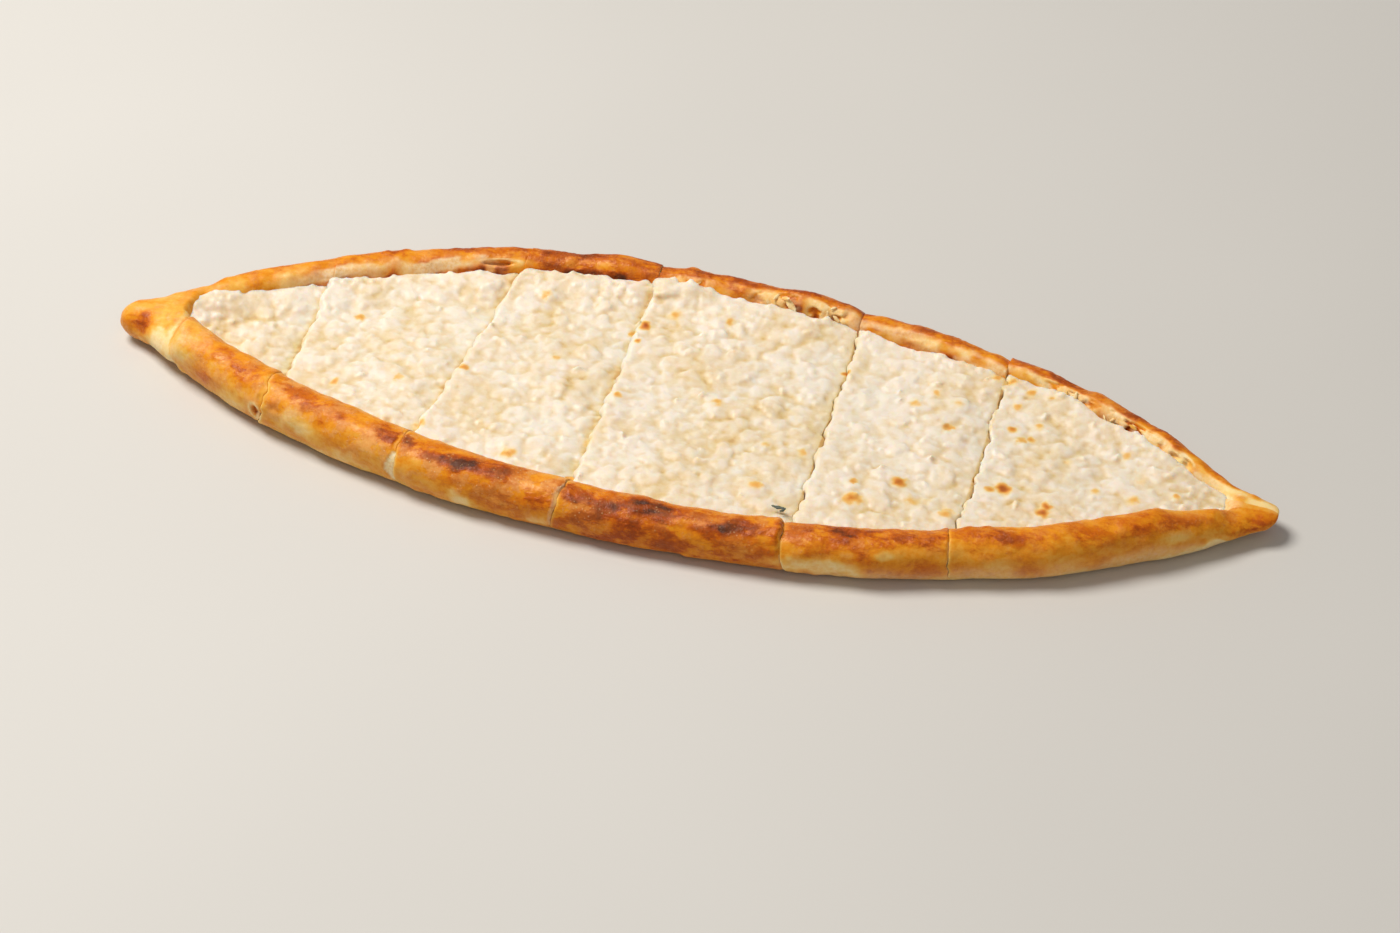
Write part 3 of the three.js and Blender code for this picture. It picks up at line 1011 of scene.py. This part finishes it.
def front_look(x, strips, fold, pale_strip):
    """What is stored on the points of the front roll, and the depth of its holes."""
    turn = FRONT_TURN
    bare, groove, ridge = strips
    dark, pale = browning(FRONT_MARKS, x, turn, 5)
    depth, hole_shade, ring = holes(FRONT_HOLES, x, turn)
    foot = smooth(0.42, 0.18, turn + 0.07 * noise(x, 0.0, 12.0, 41))
    foot = foot * lerp(0.45, 1.0, smooth(-170.0, -110.0, x))
    bake = profile(x, FRONT_BAKE) + CREST_TINT * bell(turn - 0.95, 0.22) - FOOT_PALE * foot
    # Painted shade as well as browning: the lower half of the front roll is darker in the middle
    bake = bake + MIDDLE_LOW_TOAST_AND_SHADE * bell(x - 8.0, 55.0) * smooth(0.85, 0.5, turn)
    toast = bake + dark - pale + HOLE_PAINTED_SHADE * hole_shade - TORN_PALE * ring
    toast = toast - 0.25 * bell(fold - 0.4, 1.1) * smooth(0.2, 0.5, turn)
    toast = lerp(toast - 0.2 * ridge, 0.34, 0.8 * groove)
    low = smooth(0.58, 0.34, turn + 0.10 * noise(x, turn * 30.0, 11.0, 47))
    crumb = np.maximum(0.7 * smooth(0.10, 0.60, pale), 0.6 * ring)
    crumb = np.maximum(crumb, 0.42 * low * smooth(50.0, 85.0, x))
    crumb = np.maximum(crumb, bare * pale_strip)
    # Dry, dull skin that also stands as painted sheen, stronger on the upper half of the roll
    dryness_and_sheen = profile(x, FRONT_DRYNESS_AND_SHEEN) * lerp(0.45, 1.0, smooth(0.45, 0.8, turn))
    return dict(toast=toast, crumb=crumb, dryness_and_sheen=dryness_and_sheen), depth


def back_look(x):
    """What is stored on the points of the back roll, and the depth of its holes and tears. Its crest
    is baked as the front is. Its inner flank is broken, with bare dough, painted shade at its foot and
    painted shade in the gaps between torn strands."""
    turn = BACK_TURN
    around = turn * 25.0
    dark, pale = browning(BACK_MARKS, x, turn, 9)
    depth, _, ring = holes(BACK_HOLES, x, turn)
    ring = ring * smooth(1.3, 1.15, turn)
    gaps, lacy = lace(x, turn)
    ragged = 0.07 * noise(x, 0.0, 7.0, 42) + 0.04 * noise(x, 0.0, 2.5, 43)
    inside = smooth(1.0, 1.14, turn + ragged)
    shade = smooth(0.3, 1.6, crevice(x)) * smooth(1.24, 1.36, turn)
    # Painted shade: a dark line along the foot of the lip on the left slices
    lined = 0.7 * between(-185.0, -170.0, -105.0, -85.0, x) * smooth(1.36, 1.44, turn + 1.4 * ragged)
    shade = np.maximum(shade, lined)
    crest = profile(x, BACK_CREST) + CREST_TINT * bell(turn - 0.80, 0.14)
    flank = profile(x, BACK_FLANK)
    flank = flank + lerp(0.14, 0.26, smooth(30.0, 60.0, x)) * noise(x, around, 5.0, 46)
    bake = lerp(crest + dark - pale, flank + 0.4 * dark, inside)
    # Painted shade: the gaps between torn strands are darker the deeper they are
    bake = lerp(bake, 0.12 + 0.45 * smooth(0.2, 1.2, gaps), lacy)
    patch = noise(x, around, 9.0, 44) + 0.7 * noise(x, around, 3.5, 49)
    patch = smooth(-0.1, 0.6, patch) * smooth(-20.0, 30.0, x) * lerp(0.5, 0.8, smooth(100.0, 135.0, x))
    band = between(-185.0, -165.0, -110.0, -90.0, x) * smooth(1.12, 1.18, turn + ragged)
    band = band * smooth(-0.7, 0.0, noise(x, around, 7.0, 45))
    pale = np.maximum(inside * np.maximum(patch, 0.75 * band) * (1.0 - shade), 0.7 * ring)
    crumb = np.maximum(pale, 0.8 * lacy * smooth(0.6, 0.1, gaps))
    return dict(toast=bake + SHADE_DARK * shade - TORN_PALE * ring, crumb=crumb), depth + gaps


def crust_rings(number):
    """Rings of points around the crust of a slice, with what is stored on each point. At a cut the
    loft ends with a smaller ring inside the last one, so that its edge can be told from its wall."""
    m = measures(crust_stations(number))
    x = m["x"]
    cut = CUTS[min(number, SLICES - 2)]
    strips = cut_strips(number, x, FRONT_TURN)
    sunk = cut["sunk"] * strips[0] + GROOVE_DEPTH * strips[1]
    y, z = crust_section(number, m, sunk, cut["worn"])
    shift = np.zeros_like(y)
    shift[:, FRONT] = crack_edges(number, x, FRONT_TURN)
    shift[:, BACK] = BACK_CRACK * crack_edges(number, x, BACK_TURN + 0.01)
    rings = np.stack([x + m["slant"] * y + shift, y, z], -1)
    outward = ring_normals(y, z)
    inset = rings - CRACK_DEPTH * outward

    plain = dict(toast=PLAIN_BAKE, crumb=0.0, dryness_and_sheen=PLAIN_DRYNESS_AND_SHEEN, relief=0.0)
    marks = {name: np.full_like(y, value) for name, value in plain.items()}
    marks["toast"][:, UNDER] = UNDER_BAKE + UNDER_MOTTLE * noise(x, y[:, UNDER], 20.0, 48)
    marks["crumb"][:, FLOOR] = BARE_FLOOR_SHARE * between(*BARE_FLOOR, x)
    front = front_look(rings[:, FRONT, 0], strips, past_fold(x, FRONT_TURN), cut["pale"])
    back = back_look(rings[:, BACK, 0])
    for part, turn, (look, depth) in ((FRONT, FRONT_TURN, front), (BACK, BACK_TURN, back)):
        for name, values in look.items():
            marks[name][:, part] = values
        marks["relief"][:, part] = between(0.12, 0.35, 1.3, ROLL_END, turn)
        rings[:, part] -= outward[:, part] * depth[..., None]

    more = (int(number > 0), int(number < SLICES - 1))
    rings = np.concatenate([inset[:more[0]], rings, inset[len(inset) - more[1]:]])
    marks = {name: np.pad(values, (more, (0, 0)), "edge") for name, values in marks.items()}
    marks["relief"][:more[0]] = 0.0
    marks["relief"][len(rings) - more[1]:] = 0.0
    return rings, marks, np.pad(outward, (more, (0, 0), (0, 0)), "edge"), more


def relief_tree():
    """Swells, dimples and blisters of a baked crust and wrinkles where it is brown, moved along its
    normals."""
    nodes, given = geometry_tree("crust_relief", CRUST_RELIEF)
    _, spot = seeded_spot(nodes, given)

    def layer(name, *settings):
        wave = nodes.grain(spot, given[f"{name} size"], *settings) - 0.5
        return wave * (given[f"{name} height"] * 3.0)

    distance, draw = nodes.cells(spot, nodes.math("DIVIDE", 1.0, given["Blister size"]))
    dome = nodes.span(distance, 0.42, 0.05) * nodes.span(nodes.part(draw, 0), 0.55, 0.75)
    brown = nodes.span(nodes.named("toast"), 0.46, 0.72, 0.15, 1.0)
    fine = dome * given["Blister height"] + layer("Wrinkle", 2.0, 0.6, 1.5) * brown
    height = (layer("Swell", 1.0) + layer("Dimple", 2.0) + fine) * nodes.named("relief")
    outward = nodes.named("outward", "FLOAT_VECTOR")
    moved = nodes.moved(given["Geometry"], nodes.scaled(outward, height))
    return end_tree(nodes, moved, given["Material"])


def make_crust(number, tree, finish):
    rings, marks, outward, more = crust_rings(number)
    mesh = closed_loft(f"bread_{number + 1}", rings)
    for name, values in marks.items():
        store(mesh, name, values)
    store(mesh, "outward", outward, kind="FLOAT_VECTOR")
    around = rings.shape[1]
    # Faces of the cuts, which the crust finish lightens with painted light
    walls = np.zeros(len(mesh.polygons))
    walls[:around * more[0]] = 1.0
    walls[len(walls) - 2 - around * more[1]:] = 1.0
    store(mesh, "cut_face", walls, "FACE")
    shade_smooth(mesh)
    piece = place(mesh.name, mesh)
    add_tree(piece, tree, {**CRUST_RELIEF, "Seed": 3, "Material": finish})
    bake_modifiers(piece)
    sharpen_ends(piece.data, rings.shape[0], around, more)
    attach(piece, "root")
    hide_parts(f"crust_{number + 1}")


# Cheese

def pressed(x):
    """How deep the knife pressed the cheese down, on the left of each cut."""
    depth = np.zeros_like(x)
    for cut in CUTS:
        depth += trailing_off(cut["at"] - x, cut["press"], PRESS_REACH)
    return depth


def cheese_ends(number):
    start, end = slice_ends(number, [cut["gap"] for cut in CUTS])
    places = np.arange(start, end, 0.5)
    wide = places[measures(places)["hollow"][:, 0] > tip(places, "corner")]
    return max(start, wide.min()), min(end, wide.max())


def cheese_level(number, m, y, before_back, climb, past_start):
    """Height of the cheese: it rolls a little, climbs the back lip, is pressed down or raised at the
    cuts, heaped or lowered at the tips, and has lumps and raised toasted spots."""
    x = m["x"] + m["slant"] * y
    level = CHEESE_REST + 1.0 * noise(x, y, 34.0, 31) + 0.5 * noise(x, y, 15.0, 32)
    level = level - pressed(m["x"]) + climb * smooth(24.0, 2.0, before_back)
    level = level + np.where(m["x"] < 0, LEFT_HEAP, -RIGHT_FALL) * smooth(40.0, 10.0, m["hollow"])
    if number > 0:
        level = level + CUTS[number - 1]["rise"] * np.exp(-past_start / RISE_REACH)
    domes = LUMPS + [(at, side, radius, SPOT_RISE * share) for at, side, radius, share in TOAST_SPOTS]
    for at, side, radius, height in domes:
        level = level + height * np.exp(-((x - at) ** 2 + (y - side) ** 2) / radius ** 2)
    return level


def cheese_rings(number):
    """Rings around the bed of cheese in a slice, and where curds may lie on it."""
    start, end = cheese_ends(number)
    m = measures(np.linspace(start, end, int((end - start) / CHEESE_STEP)))
    x = m["x"]
    wide = smooth(0.0, 14.0, m["hollow"])
    front = m["front_wall"] + FOOT_DRAFT + SEAT
    foot = m["back_wall"] - FOOT_DRAFT - SEAT
    foot_x = x + m["slant"] * foot
    lap = profile(foot_x, BACK_EDGE, 1) * m["lip"] * m["back_half"] - crevice(foot_x)
    lap = lap + 1.4 * noise(foot_x, 0.0, 9.0, 33) + 0.9 * noise(foot_x, 0.0, 4.0, 34)
    back = foot + wide * lap
    across = np.linspace(0.0, 1.0, CHEESE_ROWS)[None]
    y = lerp(front, back, across)
    ragged = np.zeros_like(y)
    for index, away in cut_sides(number, x):
        wander = noise(y, 0.0, 6.0, 71 + index) + 0.8 * noise(y, 0.0, 2.2, 81 + index)
        ragged += 1.2 * wander * np.exp(-away / 3.0)
    top = cheese_level(number, m, y, back - y, profile(foot_x, BACK_EDGE, 2) * wide, x - start)
    bottom_y = lerp(foot, front, across)
    bottom = np.full_like(y, DOUGH + SEAT) + curl(x)
    ys = np.concatenate([y, bottom_y], 1)
    xs = x + m["slant"] * ys + np.concatenate([ragged, ragged[:, ::-1]], 1)
    rings = np.stack([xs, ys, np.concatenate([top, bottom], 1)], -1)

    ends = np.minimum(x - start, end - x)
    crumbs = smooth(0.6, 2.0, ends) * smooth(0.3, 1.6, np.minimum(y - front, back - y))
    corner = np.maximum(smooth(40.0, 22.0, m["hollow"]), 0.7 * smooth(4.0, 1.5, back - y)) * crumbs
    field = smooth(2.0, 7.0, ends) * smooth(0.3, 1.6, y - front) * smooth(2.0, 8.0, back - y)
    where = dict(field=field * (1.0 - 0.6 * corner), crumbs=crumbs, corner=corner)
    below = ((0, 0), (0, CHEESE_ROWS))
    return rings, {name: np.pad(values, below) for name, values in where.items()}


def curd_tree():
    """Irregular curds scattered over the bed of cheese and half sunk into it."""
    nodes, given = geometry_tree("curds", CURD_SIZES, ["Where"])
    seed = given["Seed"]
    points, flat = scatter(nodes, given, CURD_DENSITY)
    share = nodes.math("POWER", nodes.draw(0.0, 1.0, seed), 1.5)
    radius = given["Smallest"] + share * (given["Largest"] - given["Smallest"])
    points = nodes.moved(points, nodes.xyz(0.0, 0.0, radius * (given["Sink"] * -1.0)))
    ball = nodes.out("GeometryNodeMeshIcoSphere", {"Radius": 1.0, "Subdivisions": 2}, "Mesh")
    position = nodes.out("GeometryNodeInputPosition", {})
    lump = nodes.out("ShaderNodeTexNoise", {"Vector": position, "Scale": 0.9, "Detail": 1.0}, 1)
    lump = nodes.scaled(nodes.vector("SUBTRACT", lump, (0.5, 0.5, 0.5)), 1.1)
    angles = nodes.draw((-1.0, -1.0, 0.0), (1.0, 1.0, 6.28), seed)
    angles = nodes.vector("MULTIPLY", angles, nodes.xyz(given["Tilt"], given["Tilt"], 1.0))
    stretch = nodes.draw((0.7, 0.7, 0.8), (1.4, 1.1, 1.2), seed)
    stretch = nodes.vector("MULTIPLY", stretch, nodes.xyz(1.0, 1.0, given["Flat"]))
    curds = nodes.laid(points, nodes.moved(ball, lump), nodes.turned(flat, angles),
                       nodes.scaled(stretch, radius))
    joined = nodes.add("GeometryNodeJoinGeometry", {0: given["Geometry"]})
    nodes.feed(joined, {0: nodes.out("GeometryNodeRealizeInstances", {"Geometry": curds})})
    return end_tree(nodes, Wire(nodes, joined.outputs[0]), given["Material"])


def crumble_tree():
    """Uneven lumps and fine crumbs over the fused cheese, moved along its normals."""
    nodes, given = geometry_tree("crumble", CRUMBLE)
    position, spot = seeded_spot(nodes, given)
    lump = (nodes.grain(spot, given["Lump size"], 1.0, 0.5, 0.6) - 0.5) * given["Lump height"]
    crumb = (nodes.grain(spot, given["Crumb size"], 1.0) - 0.5) * given["Crumb height"]
    swell = (lump + crumb) * 3.0 * nodes.span(nodes.part(position, 2), 0.0058, 0.0072)
    normal = nodes.out("GeometryNodeInputNormal", {})
    moved = nodes.moved(given["Geometry"], nodes.scaled(normal, swell))
    return end_tree(nodes, moved, given["Material"])


def blurred(values, edges, rounds):
    """Each value averaged with those of its neighbours, several times over."""
    count = len(values)
    ends = np.concatenate([edges[:, 0], edges[:, 1]])
    others = np.concatenate([edges[:, 1], edges[:, 0]])
    share = np.bincount(ends, minlength=count) + 1.0
    for _ in range(rounds):
        values = (values + np.bincount(ends, values[others], minlength=count)) / share
    return values


def past_cut(points, cut):
    """How far points lie to the right of a cut."""
    return points[:, 0] - cut["slant"] * points[:, 1] - cut["at"]


def wall_share(low, away, start, full):
    """How far a point belongs to the wall of a cut: it is low and near the cut, or very near it."""
    return np.maximum(low * smooth(1.2, 0.6, away), smooth(start, full, away))


def mark_cheese(mesh, number):
    """Stores how deep each point lies between the curds, with painted shade by the cuts, and how
    toasted it is.
    """
    points = points_of(mesh)
    x, y, z = points.T
    # Painted shade and yellower melt, growing with how deep a point lies below its neighbours
    depth = blurred(z, edges_of(mesh), 24) - z
    hollow = smooth(-0.2, 0.6, depth)
    low = smooth(CHEESE_REST, CHEESE_REST - 2.5, z)
    if number < SLICES - 1:
        cut = CUTS[number]
        away = -past_cut(points, cut)
        # Painted shade on the left of the cut, and in the gap at its wall
        hollow += cut["edge_shade"] * bell(away, 2.6)
        hollow += cut["walls"][0] * wall_share(low, away, 0.9, 0.3)
    if number > 0:
        cut = CUTS[number - 1]
        away = past_cut(points, cut)
        # Painted shade in the gap at the wall on the right of the cut
        hollow += cut["walls"][1] * wall_share(low, away, 0.7, 0.2)
    toast = np.zeros(len(points))
    ragged = 0.2 * noise(x, y, 1.6, 61)
    bent_x = x + 0.8 * noise(x, y, 3.2, 62)
    bent_y = y + 0.8 * noise(x, y, 3.2, 63)
    for at, across, radius, strength in TOAST_SPOTS:
        near = np.hypot(bent_x - at, bent_y - across) / radius
        toast = np.maximum(toast, strength * np.exp(-np.maximum(near + ragged, 0.0) ** 2 / 1.2))
    store(mesh, "hollow", hollow)
    store(mesh, "toast", toast)


def make_cheese(number, curds, crumble, finish):
    rings, places = cheese_rings(number)
    mesh = closed_loft(f"filling_{number + 1}", rings, paired=True)
    for name, values in places.items():
        store(mesh, name, values)
    piece = place(mesh.name, mesh)
    for batch, (where, sizes) in enumerate(CURD_BATCHES):
        seed = 11 + 10 * batch + number
        values = dict(zip(CURD_SIZES, sizes), Where=where, Seed=seed, Material=finish)
        add_tree(piece, curds, values)
    fuse(piece, CURD_VOXEL, CURD_SOFTENING)
    add_tree(piece, crumble, {**CRUMBLE, "Seed": 2, "Material": finish})
    bake_modifiers(piece)
    shade_smooth(piece.data)
    mark_cheese(piece.data, number)
    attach(piece, "root")
    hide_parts(f"cheese_{number + 1}")


# Torn dough and dried leaves

def tear_strip():
    """The inner face of the back lip, and how densely it is torn."""
    m = measures(np.arange(-200.0, 206.0, 1.0))
    turn = np.linspace(1.12, 1.36, 6)[None]
    y, z = roll(m["back"], m["back_half"], m["back_height"], turn, -1, 0.0, m["lip"])
    density = torn(m["x"]) * smooth(-0.4, 0.5, noise(m["x"], turn * 20.0, 6.0, 51))
    return np.stack([m["x"] + m["slant"] * y, y, z], -1), density


def flake_tree():
    """Thin flakes of dough scattered over a face and lying along it."""
    nodes, given = geometry_tree("flakes", FLAKES, ["Where"])
    seed = given["Seed"]
    points, flat = scatter(nodes, given, FLAKE_DENSITY)
    flake = nodes.out("GeometryNodeMeshIcoSphere", {"Radius": 1.0, "Subdivisions": 1}, "Mesh")
    angles = nodes.draw((-0.6, -0.6, 0.0), (0.6, 0.6, 6.28), seed)
    length = nodes.draw(given["Shortest"], given["Longest"], seed)
    shape = nodes.xyz(length, length * FLAKE_WIDTH, given["Thickness"])
    flakes = nodes.laid(points, flake, nodes.turned(flat, angles), shape)
    return end_tree(nodes, flakes, given["Material"])


def make_tears(finish):
    grid, density = tear_strip()
    count, across = grid.shape[:2]
    index = np.arange(count * across).reshape(count, across)
    corners = [index[:-1, :-1], index[1:, :-1], index[1:, 1:], index[:-1, 1:]]
    faces = np.stack(corners, -1).reshape(-1, 4)
    mesh = bpy.data.meshes.new("torn_dough")
    mesh.from_pydata((grid.reshape(-1, 3) * MM).tolist(), [], faces.tolist())
    store(mesh, "torn", density)
    piece = place(mesh.name, mesh)
    add_tree(piece, flake_tree(), {**FLAKES, "Where": "torn", "Seed": 4, "Material": finish})
    fuse(piece, FLAKE_VOXEL, FLAKE_SOFTENING)
    bake_modifiers(piece)
    piece.data.materials.clear()
    piece.data.materials.append(finish)
    shade_smooth(piece.data)
    x, y, _ = points_of(piece.data).T
    store(piece.data, "toast", 0.18 + 0.2 * noise(x, y, 5.0, 52))
    store(piece.data, "crumb", 0.9 * smooth(-0.6, 0.3, noise(x, y, 4.0, 53)))
    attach(piece, "root")


def make_herb():
    """Two dried leaves on the cheese."""
    finish = plain_finish("dried_herb", 0.001, [(0.3, 58, 66, 58), (0.7, 104, 112, 98)])
    along = np.linspace(-1.0, 1.0, 11)[:, None]
    around = np.linspace(0.0, 2.0 * math.pi, 12, endpoint=False)[None]
    girth = np.sqrt(1.0 - 0.98 * along ** 2) * (1.0 + 0.3 * noise(along, 0.0, 0.5, 91))
    for number, (x, y, z, length, width, thick, degrees) in enumerate(LEAVES):
        turn = math.radians(degrees)
        side = width * (0.5 * along + girth * np.cos(around))
        rise = thick * girth * np.sin(around) + LEAF_CURL * along ** 2
        run = length * along
        rings = np.stack([x + run * math.cos(turn) - side * math.sin(turn),
                          y + run * math.sin(turn) + side * math.cos(turn), z + rise], -1)
        mesh = closed_loft(f"herb_leaf_{number + 1}", rings)
        shade_smooth(mesh)
        mesh.materials.append(finish)
        piece = place(mesh.name, mesh)
        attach(piece, "root")


crust_look = crust_finish()
cheese_look = cheese_finish()
relief = relief_tree()
curds = curd_tree()
crumble = crumble_tree()
for number in range(SLICES):
    make_crust(number, relief, crust_look)
    make_cheese(number, curds, crumble, cheese_look)
make_tears(crust_look)
make_herb()


# Stage

def make_floor(half=4.0):
    mesh = bpy.data.meshes.new("floor")
    corners = [(-half, -half, 0), (half, -half, 0), (half, half, 0), (-half, half, 0)]
    mesh.from_pydata(corners, [], [(0, 1, 2, 3)])
    mesh.materials.append(plain_finish("pale_floor", 0.4, [(0.3, 206, 203, 198), (0.7, 211, 208, 203)]))
    return place("floor", mesh)


def soft_light(name, spot, size, power, colour):
    """A round lamp that looks at the middle of the bread."""
    lamp = bpy.data.lights.new(name, "AREA")
    lamp.shape = "DISK"
    lamp.size = size
    lamp.energy = power
    lamp.color = colour
    holder = place(name, lamp)
    holder.location = spot
    holder.rotation_euler = (-Vector(spot)).to_track_quat("-Z", "Y").to_euler()


make_floor()
soft_light("key", (-0.8, 0.1, 1.5), 0.8, 29.0, (1.0, 0.97, 0.92))
soft_light("fill", (0.6, -1.2, 1.2), 1.4, 2.4, (1.0, 0.97, 0.93))

world = bpy.data.worlds.new("soft_room")
world.use_nodes = True
background = world.node_tree.nodes["Background"]
Nodes(world.node_tree).feed(background, {"Color": (1.0, 0.98, 0.95, 1.0), "Strength": 0.25})
bpy.context.scene.world = world
bpy.context.scene.view_settings.view_transform = "Standard"

optics = bpy.data.cameras.new("camera")
optics.sensor_width = SENSOR
optics.lens = FOCAL_LENGTH
camera = place("camera", optics)
camera.location = CAMERA_AT
camera.rotation_euler = (math.radians(CAMERA_TILT), 0.0, math.radians(CAMERA_TURN))
bpy.context.scene.camera = camera
